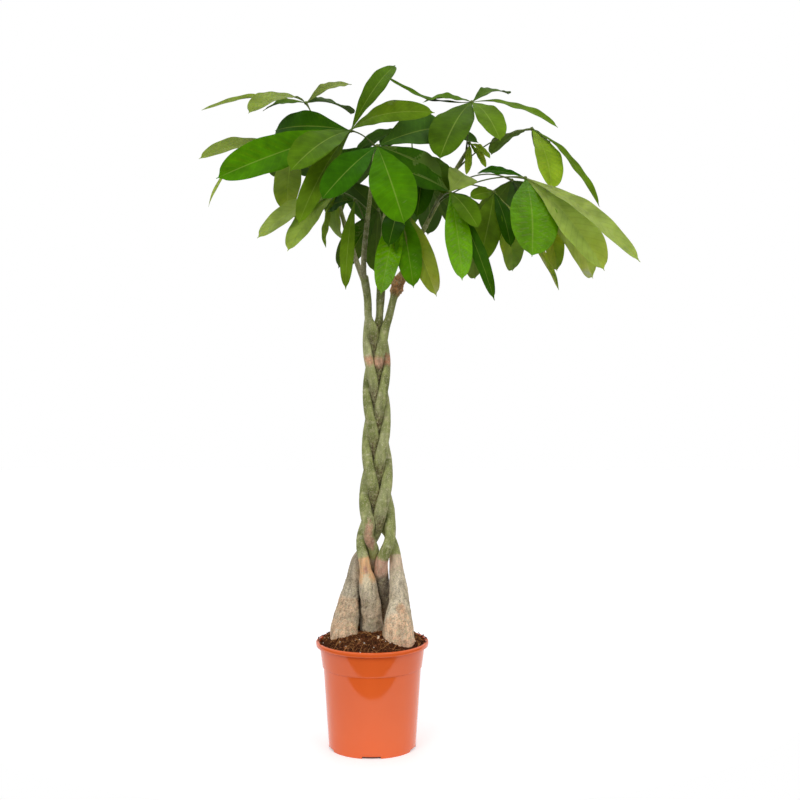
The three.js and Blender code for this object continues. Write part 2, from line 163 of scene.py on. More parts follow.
# Flow marks from moulding: soft upright waves about 12 mm apart, a few hundredths of a millimetre high.
stretch = add_node(tree, "ShaderNodeMapping", {"Vector": place, "Scale": (80, 80, 9)})
flow = add_node(tree, "ShaderNodeTexNoise", {"Vector": stretch.outputs[0], "Scale": 1.0, "Detail": 2.0})
relief = add_node(tree, "ShaderNodeBump", {"Height": flow.outputs[0], "Strength": 0.06, "Distance": 0.0006})
tree.links.new(relief.outputs[0], shader.inputs["Normal"])


def turn_profile(profile, steps):
    bm = bmesh.new()
    line = [bm.verts.new((radius / 1000, 0, height / 1000)) for radius, height in profile]
    edges = [bm.edges.new(pair) for pair in zip(line, line[1:])]
    bmesh.ops.spin(bm, geom=line + edges, cent=(0, 0, 0), axis=(0, 0, 1), angle=2 * math.pi, steps=steps,
                   use_merge=True)
    bmesh.ops.remove_doubles(bm, verts=bm.verts, dist=1e-6)
    return bm


bm = turn_profile(pot_profile, pot_turns)
bmesh.ops.recalc_face_normals(bm, faces=bm.faces)
pot = new_piece("nursery_pot", bm, polypropylene)

bm = bmesh.new()
for i in range(notch_count):
    turn = -math.pi / 2 + i * 2 * math.pi / notch_count
    block = bmesh.ops.create_cube(bm, size=1)["verts"]
    bmesh.ops.scale(bm, vec=Vector((notch_reach, notch_width, 2 * notch_height)) / 1000, verts=block)
    bmesh.ops.translate(bm, vec=(foot_radius / 1000, 0, 0), verts=block)
    drill = bmesh.ops.create_cone(bm, cap_ends=True, segments=24, radius1=drain_radius / 1000,
                                  radius2=drain_radius / 1000, depth=drill_length / 1000)["verts"]
    bmesh.ops.translate(bm, vec=(-drain_circle / 1000, 0, 0), verts=drill)
    bmesh.ops.rotate(bm, cent=(0, 0, 0), matrix=Matrix.Rotation(turn, 3, "Z"), verts=block + drill)
cutters = new_piece("notch_cutters", bm)
cut = pot.modifiers.new("notches", "BOOLEAN")
cut.operation = "DIFFERENCE"
cut.solver = "EXACT"
cut.object = cutters
cut_mesh = bpy.data.meshes.new_from_object(pot.evaluated_get(bpy.context.evaluated_depsgraph_get()))
pot.modifiers.clear()
pot.data = cut_mesh
bpy.data.objects.remove(cutters)


def shade(piece, angle):
    piece.data.shade_smooth()
    piece.data.set_sharp_from_angle(angle=math.radians(angle))


shade(pot, 32)
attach(pot, "root")
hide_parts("pot")

# Trunk: five living stems, set in the pot as bare cuttings with swollen feet and braided while they
# were soft. Bark is grey-beige and cracked at the foot, smooth and tan where that ends, and olive green
# with pale leaf rings above. The stems press each other out of round where they cross.
axis_x, braid_pitch, braid_start, braid_press = 8.5, 475, 354, 0.16
stem_sides, ring_step = 44, 2.5
pressed_wider, pressed_flat = 0.12, 0.12

# For each stem: where in the braid it starts, in degrees, and height, x, y and radius at its foot and top.
stem_rows = {
    "left": (324, [(150, -51, -24, 17), (205, -52, -19, 25.5), (240, -49, -8, 24), (275, -41, 10, 20.2),
                   (313, -33, 15, 16), (332, -30, 14, 14.2), (350, -26, 12, 12), (370, -12, 15, 9.9),
                   (385, -1, 13.5, 9.7), (400, 6.5, 4, 9.7)],
             [(800, -7, 11, 6.8), (836, -8, 13, 6.8), (880, -14, 17, 6.6)]),
    "middle": (252, [(150, -2, 6, 15), (205, -2, 6, 20.5), (240, -2, 3, 20.2), (275, -4, -4, 18.4),
                     (313, -9, -9.5, 15.6), (332, -12, -11.5, 11.4), (350, -14.5, -12.5, 10.3),
                     (370, -19, -8.5, 9.8), (385, -20, -0.5, 9.7), (400, -18, 9.5, 9.6)],
               [(800, -6, -10, 6.9), (836, -8, -12, 6.9), (878, -15, -16, 6.8)]),
    "right": (108, [(150, 46, -38, 18), (205, 48, -40, 29), (240, 48, -37, 27), (275, 50, -24, 19.4),
                    (313, 47, -12, 15.6), (332, 45, -4, 13.3), (350, 43.5, 2.5, 11.6), (370, 40, 12, 10.6),
                    (385, 35, 17, 10), (400, 28.5, 18.5, 9.8)],
              [(800, 31, -4, 7), (836, 40, -4, 6.9), (856, 47, -5, 8.4), (876, 53, -6, 9.6)]),
    "centre": (36, [(150, 29, 44, 15), (205, 29, 44, 20), (240, 27, 40, 19), (275, 22, 26, 16.4),
                    (313, 18, 5, 13.6), (332, 17, -5, 12.6), (350, 18, -10, 11.7), (370, 25, -16, 10.6),
                    (385, 31, -16, 10), (400, 34, -12, 9.8)],
               [(800, 13, -7, 6.3), (836, 14, -7, 5.9), (882, 16, -10, 6.3)]),
    "back": (180, [(150, -30, 54, 15), (205, -29, 54, 20), (240, -24, 51, 18.6), (275, -13, 43, 15.2),
                   (313, -2, 28, 12.2), (332, 1, 17, 11.4), (350, 1.5, 7.5, 10.6), (370, 3, -4.5, 9.9),
                   (385, -2, -12.5, 9.7), (400, -7, -17.5, 9.7)],
             [(800, 14, 9, 6.6), (836, 17, 13, 6.5), (880, 20, 20, 6.3)]),
}


def ease(value, low, high):
    part = min(max((value - low) / (high - low), 0), 1)
    return part * part * (3 - 2 * part)


def blend(low, high, part):
    return low + (high - low) * part


def braid_turn(height, phase):
    return math.radians(phase + (height - braid_start) / braid_pitch * 360)


def braid_row(height, phase):
    turn = braid_turn(height, phase)
    radius = blend(9.85, 7.05, ease(height, 340, 700))
    reach = blend(24, 16, ease(height, 330, 620)) - pressed_wider * radius / (1 + braid_press)
    depth = blend(19.4, 15, ease(height, 400, 760))
    side = math.sin(turn) - braid_press * math.sin(3 * turn)
    return height, axis_x + reach * side, -depth * math.sin(2 * turn), radius * (1 + pressed_wider)


# One smooth line through the rows: at each height the neighbours on both sides pull the curve.
def smooth_row(rows, height):
    i = max(k for k in range(len(rows) - 1) if rows[k][0] <= height or k == 0)
    before, low, high, after = (rows[min(max(k, 0), len(rows) - 1)] for k in (i - 1, i, i + 1, i + 2))
    span = high[0] - low[0]
    t = (height - low[0]) / span
    values = []
    for k in range(4):
        slope_low = (high[k] - before[k]) / max(high[0] - before[0], 1) * span
        slope_high = (after[k] - low[k]) / max(after[0] - low[0], 1) * span
        values.append((2 * t ** 3 - 3 * t ** 2 + 1) * low[k] + (t ** 3 - 2 * t ** 2 + t) * slope_low
                      + (3 * t ** 2 - 2 * t ** 3) * high[k] + (t ** 3 - t ** 2) * slope_high)
    return Vector(values[1:3] + [height]), values[3]


# A closed tube round a line of centres, from a flat grid that is rolled up and welded along its seam.
def roll_tube(bm, centres, sides, place_vertex):
    rings = len(centres) - 1
    grid = bmesh.ops.create_grid(bm, x_segments=sides, y_segments=rings, size=0.5)["verts"]
    frames = []
    for k, centre in enumerate(centres):
        run = (centres[min(k + 1, rings)] - centres[max(k - 1, 0)]).normalized()
        out = (Vector((1, 0, 0)) - run * run.x).normalized()
        frames.append((centre, out, run.cross(out)))
    for vert in grid:
        ring = round((vert.co.y + 0.5) * rings)
        angle = (vert.co.x + 0.5) * 2 * math.pi
        centre, out, beside = frames[ring]
        reach = place_vertex(vert, ring, angle)
        vert.co = centre + (out * math.cos(angle) + beside * math.sin(angle)) * reach
    bmesh.ops.remove_doubles(bm, verts=grid, dist=1e-7)
    ends = [vert for vert in grid if vert.is_valid]
    bmesh.ops.holes_fill(bm, edges=list({edge for vert in ends for edge in vert.link_edges}), sides=0)
    return {face for vert in ends for face in vert.link_faces}


def mix(tree, factor, low, high):
    low, high = (linear(tone) if isinstance(tone, str) else tone for tone in (low, high))
    return add_node(tree, "ShaderNodeMix", {0: factor, 6: low, 7: high}, data_type="RGBA").outputs[2]


def noise_of(tree, place, scale, detail, roughness=0.5):
    values = {"Vector": place, "Scale": scale, "Detail": detail, "Roughness": roughness}
    return add_node(tree, "ShaderNodeTexNoise", values).outputs[0]


bark, tree, shader = new_material("living_pachira_bark", Roughness=0.66, IOR=1.45, Specular_IOR_Level=0.3)
place = add_node(tree, "ShaderNodeTexCoord").outputs["Object"]
tone = add_node(tree, "ShaderNodeAttribute", attribute_name="bark_tone").outputs["Color"]
rough = add_node(tree, "ShaderNodeAttribute", attribute_name="rough").outputs["Fac"]
# Old bark: grain of about 2 mm and pits of about 5 mm, both darker; they fade out where the bark is
# young and smooth.
grain = noise_of(tree, place, 430.0, 4.0, 0.7)
pits = noise_of(tree, place, 190.0, 3.0, 0.6)
grain_dark = add_node(tree, "ShaderNodeMapRange", {0: grain, 1: 0.36, 2: 0.5, 3: 0.62, 4: 0.0})
pits_dark = add_node(tree, "ShaderNodeMapRange", {0: pits, 1: 0.32, 2: 0.42, 3: 0.45, 4: 0.0})
dark = add_node(tree, "ShaderNodeMath", {0: grain_dark.outputs[0], 1: pits_dark.outputs[0]},
                operation="MAXIMUM")
dark = add_node(tree, "ShaderNodeMath", {0: dark.outputs[0], 1: rough}, operation="MULTIPLY")
skin = mix(tree, dark.outputs[0], tone, "#6E5B44")
# Young bark: streaks along the stem, a few millimetres wide, and small pale pores.
along = add_node(tree, "ShaderNodeMapping", {"Vector": place, "Scale": (190, 190, 24)})
streaks = noise_of(tree, along.outputs[0], 1.0, 3.0)
streak = add_node(tree, "ShaderNodeMapRange", {0: streaks, 1: 0.32, 2: 0.68, 3: 0.68, 4: 1.18})
skin = add_node(tree, "ShaderNodeVectorMath", {0: skin, 3: streak.outputs[0]}, operation="SCALE").outputs[0]
flecks = noise_of(tree, place, 150.0, 2.0)
fleck = add_node(tree, "ShaderNodeMapRange", {0: flecks, 1: 0.56, 2: 0.68, 4: 0.5})
skin = mix(tree, fleck.outputs[0], skin, "#C9C196")
pores = add_node(tree, "ShaderNodeMapRange", {0: grain, 1: 0.56, 2: 0.65, 4: 0.66})
skin = mix(tree, pores.outputs[0], skin, "#E3D9BC")
tree.links.new(skin, shader.inputs["Base Color"])
height = add_node(tree, "ShaderNodeMath", {0: grain, 1: pits}, operation="ADD")
strength = add_node(tree, "ShaderNodeMapRange", {0: rough, 3: 0.16, 4: 0.75})
relief = add_node(tree, "ShaderNodeBump", {"Height": height.outputs[0], "Strength": strength.outputs[0],
                                           "Distance": 0.0014})
tree.links.new(relief.outputs[0], shader.inputs["Normal"])

# Where the green begins on each stem, and the smooth bark just below it: its colour and how far down it
# goes. The swollen feet end, and the braid begins and ends, gradually between two heights.
green_from = 357
feet_end, braid_begins, braid_ends = (290, 345), (395, 430), (775, 805)
smooth_bark = {"left": ("#B3A38B", 12), "middle": ("#F2C08C", 46), "right": ("#DEC4A8", 26),
               "centre": ("#D9AC93", 30), "back": ("#B5A58B", 20)}
# Healed wounds: height, direction in degrees from +X towards +Y, half height, half width in degrees,
# colour. The one at 722 runs across the front of every stem, where a tie held the braid.
wounds = {"left": [(722, -100, 12, 110, "#DBA684")],
          "middle": [(311, -92, 20, 40, "#FFF0CC"), (339, -88, 9, 24, "#DFA68C"),
                     (722, -90, 12, 110, "#E0AC8A")],
          "right": [(722, -95, 13, 110, "#E0AE90"), (262, -80, 14, 24, "#DDAE8A")],
          "centre": [(722, -90, 12, 110, "#C4886A")],
          "back": [(400, -92, 27, 70, "#CB9C82"), (722, -90, 12, 110, "#C4886A")]}


def tone_vector(hex_colour):
    return Vector(linear(hex_colour)[:3])


def mingle(low, high, part):
    return low.lerp(high, min(max(part, 0), 1))


grey_bark, dark_grey_bark, tan_bark, crotch_bark_and_painted_shade, callus = (
    tone_vector(tone) for tone in ("#CFC2A9", "#B4A68D", "#E9C09A", "#6E5F40", "#DC9C66"))
green_skin, deep_green_skin, pale_green_skin, ring_skin = (
    tone_vector(tone) for tone in ("#A1A966", "#7F8849", "#B9BC86", "#DEDBB0"))

# How light the old bark is on each stem: partly its own tone, partly painted light and shade. The centre and
# back stems, behind the others, are painted darker, and the middle one lighter.
bark_light_and_painted_shade = {"left": 1.08, "middle": 1.28, "right": 1.34, "centre": 0.55, "back": 0.6}
stem_lines = {side: foot + [braid_row(height, phase) for height in range(420, 781, 24)] + top
              for side, (phase, foot, top) in stem_rows.items()}

for number, (side, (phase, foot, top)) in enumerate(stem_rows.items()):
    rows = stem_lines[side]
    low, high = rows[0][0], rows[-1][0]
    count = round((high - low) / ring_step)
    heights = [low + (high - low) * k / count for k in range(count + 1)]
    line = [smooth_row(rows, height) for height in heights]
    others = [other for name, other in stem_lines.items() if name != side]
    beside_line = [[smooth_row(other, height) for other in others] for height in heights]
    draw = random.Random(40 + number)
    leaf_rings = []
    at = 380 + draw.uniform(0, 20)
    while at < high - 12:
        tilt, lean, strength = draw.uniform(-2.5, 2.5), draw.uniform(0, 2 * math.pi), draw.uniform(0.35, 1)
        leaf_rings.append((at, tilt, lean, strength))
        at += draw.uniform(34, 78)
    bm = bmesh.new()
    rough_layer = bm.verts.layers.float.new("rough")
    tone_layer = bm.verts.layers.float_color.new("bark_tone")
    smooth_tone, smooth_reach = smooth_bark[side]

    def place_bark(vert, ring, angle):
        height = heights[ring]
        centre, radius = line[ring]
        spot = centre + Vector((math.cos(angle), math.sin(angle), 0)) * radius
        swollen = 1 - ease(height, *feet_end)
        broad = noise.noise(spot * 0.05 + Vector((number * 7, 0, 0)))
        patch = noise.noise(spot * 0.035 + Vector((0, number * 11, 3)))
        fissure = noise.noise(Vector((spot.x * 0.2, spot.y * 0.2, spot.z * 0.075 + number)))
        crack = max(1 - abs(fissure) / 0.11, 0)
        crumb = noise.noise(spot * 0.33)
        lift = swollen * (1.7 * broad + 0.9 * crumb - 1.3 * crack) + (1 - swollen) * 0.2 * crumb
        lift += swollen * 0.03 * radius * math.sin(3 * angle + phase)

        braided = ease(height, *braid_begins) * (1 - ease(height, *braid_ends))
        turn = braid_turn(height, phase)
        oval = 1 + braided * pressed_flat * abs(math.sin(2 * turn)) * math.cos(2 * angle)

        low_tan = ease(258 - height + 70 * patch, -10, 40) * (0.35 if side in ("middle", "back") else 1)
        tone = mingle(dark_grey_bark, grey_bark, 0.6 + 1.6 * broad)
        tone = mingle(tone, tan_bark, low_tan * (0.75 + 0.8 * crumb))
        # Each stem's lightness, painted light and shade included, scales its whole bark.
        tone = tone * bark_light_and_painted_shade[side] * (1 - 0.4 * crack * swollen)
        below = green_from - height + 3 * crumb
        tone = mingle(tone, tone_vector(smooth_tone), 1 - ease(below, smooth_reach - 8, smooth_reach + 6))

        green = mingle(deep_green_skin, green_skin, 0.75 + 1.5 * broad)
        green = mingle(green, pale_green_skin, 0.45 * math.cos(math.radians(number * 70)) + 1.2 * patch)
        # In the crotches of the braid, where a strand turns in behind another, the green goes dark brown:
        # old corky bark, with painted shade.
        crotch = braided * (1 - ease(abs(math.sin(turn)), 0.25, 0.6))
        green = mingle(green, crotch_bark_and_painted_shade, crotch * (0.7 + 1.5 * crumb))
        young = ease(height + 1.5 * crumb, green_from - 2, green_from + 2)
        tone = mingle(tone, green, young)

        mark = 0.0
        for ring_height, tilt, lean, strength in leaf_rings:
            off = height - ring_height - tilt * math.cos(angle - lean)
            mark = max(mark, strength * math.exp(-(off / 1.6) ** 2))
        worn = min(max(0.6 + 2.2 * noise.noise(spot * 0.21), 0.1), 1)
        lift += 0.5 * mark
        tone = mingle(tone, ring_skin, mark * worn)

        for wound_height, toward, tall, wide, wound_tone in wounds[side]:
            turned = (math.degrees(angle) - toward + 180) % 360 - 180
            reach = math.hypot((height - wound_height) / tall, turned / wide) + 0.4 * broad + 0.5 * crumb
            healed = 1 - ease(reach, 0.55, 1.15)
            lift += 0.8 * healed * (0.5 + crumb)
            tone = mingle(tone, tone_vector(wound_tone) * (1 + 0.5 * crumb), 0.9 * healed)

        corky = ease(height, 836, 852) if side == "right" else 0.0
        lift += corky * (2.8 + 4.5 * noise.noise(spot * 0.16) + 2.4 * crumb)
        tone = mingle(tone, callus * (1 + 0.9 * crumb), corky * 0.9)
        # Dirt and shade gather where two stems press together.
        space = min(math.hypot(spot.x - other.x, spot.y - other.y) - girth
                    for other, girth in beside_line[ring])
        near = 1 - ease(space, -0.5, 3.8 + 6 * swollen)
        tone = tone * (1 - 0.88 * near)
        vert[tone_layer] = (*tone, 1)
        smooth = (1 - ease(below, smooth_reach - 8, smooth_reach + 6)) * (1 - crotch * 0.8)
        vert[rough_layer] = max(1 - smooth, 0.18, corky)
        # The cut end is rounded over, because the bark has healed across it.
        rounded = math.sqrt(max(1 - ease(height, high - 5, high + 1) ** 2, 0.02))
        return (radius * oval + lift) / 1000 * rounded

    roll_tube(bm, [centre / 1000 for centre, _ in line], stem_sides, place_bark)
    bmesh.ops.recalc_face_normals(bm, faces=bm.faces)
    stem = new_piece(f"trunk_stem_{side}", bm, bark)
    shade(stem, 60)
    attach(stem, "root")
    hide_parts(f"stem_{side}")

# Soil: loose coir and peat, heaped towards the trunk, with crumbs, bark chips, coir fibres and grains of
# perlite lying in it. It is matt and dark brown, and the loose bits on top are paler because they have
# dried.
soil_edge_height, soil_crown, soil_edge = 196, 22, 95.6
soil_turns, soil_rings = 180, 50


def soil_height(x, y):
    part = min(math.hypot(x, y) / soil_edge, 1)
    rough = 2.4 * noise.noise(Vector((x, y, 0)) * 0.06) + 2.0 * noise.noise(Vector((x, y, 5)) * 0.19)
    fine = 1.1 * noise.noise(Vector((x, y, 9)) * 0.55)
    return soil_edge_height + soil_crown * (1 - part ** 5) - 0.6 + (rough + fine) * (1 - 0.7 * part ** 8)


peat, tree, shader = new_material("coir_and_peat", Roughness=0.95, Specular_IOR_Level=0.15)
place = add_node(tree, "ShaderNodeTexCoord").outputs["Object"]
clods = noise_of(tree, place, 210.0, 5.0, 0.7)
part = add_node(tree, "ShaderNodeMapRange", {0: clods, 1: 0.35, 2: 0.68})
tree.links.new(mix(tree, part.outputs[0], "#1D0F08", "#66391E"), shader.inputs["Base Color"])
relief = add_node(tree, "ShaderNodeBump", {"Height": clods, "Strength": 0.8, "Distance": 0.003})
tree.links.new(relief.outputs[0], shader.inputs["Normal"])
damp_coir, dry_coir, bark_chip, wood_chip = (
    new_material(name, Base_Color=linear(tone), Roughness=roughness, Specular_IOR_Level=0.2)[0]
    for name, tone, roughness in (("damp_coir_fibre", "#64391C", 0.9), ("dry_coir_fibre", "#AE7B49", 0.9),
                                  ("dry_bark_chip", "#8A5636", 0.85), ("dry_wood_chip", "#E6CDAE", 0.85)))
perlite, _, _ = new_material("expanded_perlite", Base_Color=linear("#EDE4D6"), Roughness=0.8)


def settle(piece):
    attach(piece, "root")


outline = [(0, 2.6), (24, 2.6), (27, 7.6), (75.6, 7.6), (79, 11.6), (89, 150), (95.6, 190)]
outline += [(soil_edge * (1 - k / soil_rings), soil_edge_height) for k in range(soil_rings + 1)]
bm = turn_profile(outline, soil_turns)
for vert in bm.verts:
    if vert.co.z > (soil_edge_height - 0.5) / 1000:
        vert.co.z = soil_height(vert.co.x * 1000, vert.co.y * 1000) / 1000
bmesh.ops.recalc_face_normals(bm, faces=bm.faces)
soil = new_piece("potting_soil", bm, peat)
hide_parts("soil")
settle(soil)

draw = random.Random(7)
pot_wall_inside = 97
stem_feet = [smooth_row(foot, 212) for _, foot, _ in stem_rows.values()]


def free_spot(room):
    while True:
        reach, turn = soil_edge * math.sqrt(draw.random()) * 0.985, draw.uniform(0, 2 * math.pi)
        x, y = reach * math.cos(turn), reach * math.sin(turn)
        clear = all(math.hypot(x - at.x, y - at.y) > radius + room for at, radius in stem_feet)
        if reach + room < pot_wall_inside and clear:
            return x, y


def tumble():
    spin = Matrix.Rotation(draw.uniform(0, math.pi), 4, "Z")
    return spin @ Matrix.Rotation(draw.uniform(-0.7, 0.7), 4, "X")


def add_bit(bm, spot, spin, long, broad, thick):
    place = Matrix.Translation(Vector(spot) / 1000)
    stretch = Matrix.Diagonal((long / 1000, broad / 1000, thick / 1000, 1))
    bit = bmesh.ops.create_icosphere(bm, subdivisions=1, radius=1, matrix=place @ spin @ stretch)
    return bit["verts"]


# name, how many, half length, thickness as a part of the length, material
for name, many, size, thin, finish in (
    ("peat_crumbs", 1300, 1.8, 0.8, peat),
    ("bark_chips", 190, 3.4, 0.3, bark_chip),
    ("perlite_grains", 46, 1.7, 0.8, perlite),
):
    bm = bmesh.new()
    for _ in range(many):
        half = size * draw.uniform(0.5, 1.3)
        x, y = free_spot(half * 0.6)
        spot = (x, y, soil_height(x, y) + 0.3 * half * thin)
        for vert in add_bit(bm, spot, tumble(), half, half * draw.uniform(0.5, 0.9), half * thin):
            vert.co += (Vector(spot) / 1000 - vert.co) * draw.uniform(-0.2, 0.35)
    settle(new_piece(name, bm, finish))

# A few pale chips of wood stand up between the feet: place, half length, turn and lean in degrees.
bm = bmesh.new()
for x, y, half, turned, lean in ((12, -58, 5.5, 60, 55), (20, -62, 3.2, 10, 20), (-22, -60, 2.8, 100, 15),
                                 (79, -34, 3.6, 140, 40), (-74, -30, 3.4, 30, 35), (72, 12, 4.2, 70, 50)):
    spin = Matrix.Rotation(math.radians(turned), 4, "Z") @ Matrix.Rotation(math.radians(-lean), 4, "Y")
    add_bit(bm, (x, y, soil_height(x, y) + 0.5 * half), spin, half, 0.42 * half, 0.18 * half)
settle(new_piece("wood_chips", bm, wood_chip))

# Some soil was spilled on the lip, mostly at the back and the sides.
spilled_count = 420
bm = bmesh.new()
for _ in range(spilled_count):
    turn, reach = math.radians(draw.triangular(-40, 220, 90)), draw.uniform(92, 103.5)
    half = draw.uniform(0.6, 2.1)
    lie = 198.6 + 1.6 * ease(reach, 95, 101) + 0.6 * half
    spot = (reach * math.cos(turn), reach * math.sin(turn), lie)
    add_bit(bm, spot, tumble(), half, half * 0.7, half * 0.6)
settle(new_piece("spilled_crumbs", bm, peat))

# Coir fibres lie curled on top of the soil, each a bowed and humped tube of three sides.
fibre_points, fibre_sides = 8, 3
for name, many, finish in (("damp_coir_fibres", 620, damp_coir), ("dry_coir_fibres", 260, dry_coir)):
    bm = bmesh.new()
    for _ in range(many):
        x, y = free_spot(2)
        turn, length, bow = draw.uniform(0, 2 * math.pi), draw.uniform(7, 24), draw.uniform(-6, 6)
        hump = draw.uniform(0.2, 3.2)
        centres = []
        for k in range(fibre_points):
            step = k / (fibre_points - 1) - 0.5
            px = x + length * step * math.cos(turn) - bow * math.cos(math.pi * step) * math.sin(turn)
            py = y + length * step * math.sin(turn) + bow * math.cos(math.pi * step) * math.cos(turn)
            inside = min(1, 96 / max(math.hypot(px, py), 1))
            px, py = px * inside, py * inside
            pz = soil_height(px, py) + 0.4 + hump * math.cos(math.pi * step) ** 2
            centres.append(Vector((px, py, pz)) / 1000)
        thick = draw.uniform(0.25, 0.65)
        roll_tube(bm, centres, fibre_sides, lambda vert, ring, angle: thick / 1000)
    bmesh.ops.recalc_face_normals(bm, faces=bm.faces)
    settle(new_piece(name, bm, finish))

# Leafy shoots: one grown from the top of each stem, with palmate leaves on long thin stalks. Each leaf is
# a fan of up to six leaflets with a drip tip, a pale midrib and side veins; the blade is half a millimetre
# thick, satin above and duller below, and light shines through the thin pale ones.
blade_across, blade_along = 12, 60
blade_thickness, usual_arch = 0.5, 0.09
shoot_sides, shoot_rings, shoot_base, shoot_tip = 16, 60, 5.4, 3.4
stalk_sides, stalk_rings, stalk_radius, knuckle_radius = 8, 16, 1.3, 3.7
vein_pairs, vein_slant = 15, 1.9
# Leaflet greens: partly the leaflets' own shades, partly painted light and shade, each leaflet given the
# lighter or darker green it shows where it hangs.
blade_colours = {"bright": "#3F7000", "mid": "#2F6002", "deep": "#284E02", "dull": "#3E621C",
                 "olive": "#456408", "moss": "#567410", "lime": "#759022", "pale": "#8B9F48",
                 "dusty": "#707F35", "sage": "#8A9A4E", "puckered": "#588C04"}
# How high the blade swells between its side veins, in millimetres.
blade_quilt = {"bright": 0.8, "lime": 0.6, "puckered": 1.5}
plain_quilt = 0.12


def leaf_material(name, light_through, gloss, roughness, vein_light, pucker):
    material, tree, shader = new_material(name, IOR=1.42, Specular_IOR_Level=gloss,
                                          Subsurface_Weight=light_through, Subsurface_Scale=0.002,
                                          Subsurface_Radius=(0.7, 1.0, 0.1))
    own = add_node(tree, "ShaderNodeAttribute", attribute_name="leaf_colour").outputs["Color"]
    along, across, under = (add_node(tree, "ShaderNodeAttribute", attribute_name=layer).outputs["Fac"]
                            for layer in ("along", "across", "under"))
    place = add_node(tree, "ShaderNodeTexCoord").outputs["Object"]

    def sum_of(operation, *numbers):
        return add_node(tree, "ShaderNodeMath", dict(enumerate(numbers)), operation=operation).outputs[0]

    away = sum_of("ABSOLUTE", across)
    count = sum_of("MULTIPLY", along, float(vein_pairs))
    slant = sum_of("MULTIPLY_ADD", away, -vein_slant, count)
    off = sum_of("ABSOLUTE", sum_of("SUBTRACT", sum_of("FRACT", slant), 0.5))
    vein = add_node(tree, "ShaderNodeMapRange", {0: off, 1: 0.0, 2: 0.12, 3: 0.32, 4: 0.0}).outputs[0]
    midrib = add_node(tree, "ShaderNodeMapRange", {0: away, 1: 0.012, 2: 0.045, 3: 0.32, 4: 0.0}).outputs[0]
    # Patches about 25 mm across, and the flesh lighter towards the tip.
    mottle = noise_of(tree, place, 40.0, 4.0)
    patch = add_node(tree, "ShaderNodeMapRange", {0: mottle, 1: 0.3, 2: 0.7, 3: 0.76, 4: 1.2}).outputs[0]
    ripe = add_node(tree, "ShaderNodeMapRange", {0: along, 3: 0.8, 4: 1.2}).outputs[0]
    tinted = add_node(tree, "ShaderNodeVectorMath", {0: own, 3: sum_of("MULTIPLY", patch, ripe)},
                      operation="SCALE").outputs[0]
    ribbed = add_node(tree, "ShaderNodeVectorMath", {0: tinted, 3: vein_light},
                      operation="SCALE").outputs[0]
    blade = mix(tree, midrib, mix(tree, vein, tinted, ribbed), "#9DB052")
    dull = sum_of("MULTIPLY", under, 0.25)
    tree.links.new(mix(tree, dull, blade, "#7C9150"), shader.inputs["Base Color"])
    satin = add_node(tree, "ShaderNodeMapRange", {0: under, 3: roughness, 4: 0.7})
    tree.links.new(satin.outputs[0], shader.inputs["Roughness"])
    fine = noise_of(tree, place, 160.0, 3.0)
    relief = add_node(tree, "ShaderNodeBump", {"Height": fine, "Strength": 0.4, "Distance": pucker})
    tree.links.new(relief.outputs[0], shader.inputs["Normal"])
    return material


firm_blade = leaf_material("firm_pachira_leaf", 0.05, 0.04, 0.45, 1.45, 0.0005)
puckered_blade = leaf_material("puckered_pachira_leaf", 0.05, 0.14, 0.2, 1.6, 0.005)
thin_blade = leaf_material("thin_pachira_leaf", 0.4, 0.04, 0.5, 0.55, 0.0005)
blade_finish = {"puckered": 4}
blade_finish.update(dict.fromkeys(("lime", "pale", "dusty", "sage"), 3))
stalk_skin, _, _ = new_material("green_leaf_stalk", Base_Color=linear("#5F6E2C"), Roughness=0.5,
                                Specular_IOR_Level=0.3)


def fan(middle, spread, count, drop, length, width, tones):
    rows = []
    for i in range(count):
        side = 2 * i / (count - 1) - 1
        sag = drop + 14 * side * side + 5 * math.sin(3 * i + middle)
        rows.append((middle + 0.5 * spread * side, sag, length * (1 - 0.2 * side * side),
                     width * (1 - 0.15 * side * side), tones[i % len(tones)]))
    return rows


# The fans at the back of the crown take only the darker greens: their own dark green, with painted shade.
back_fan_shade_tones = ("deep", "mid", "olive")
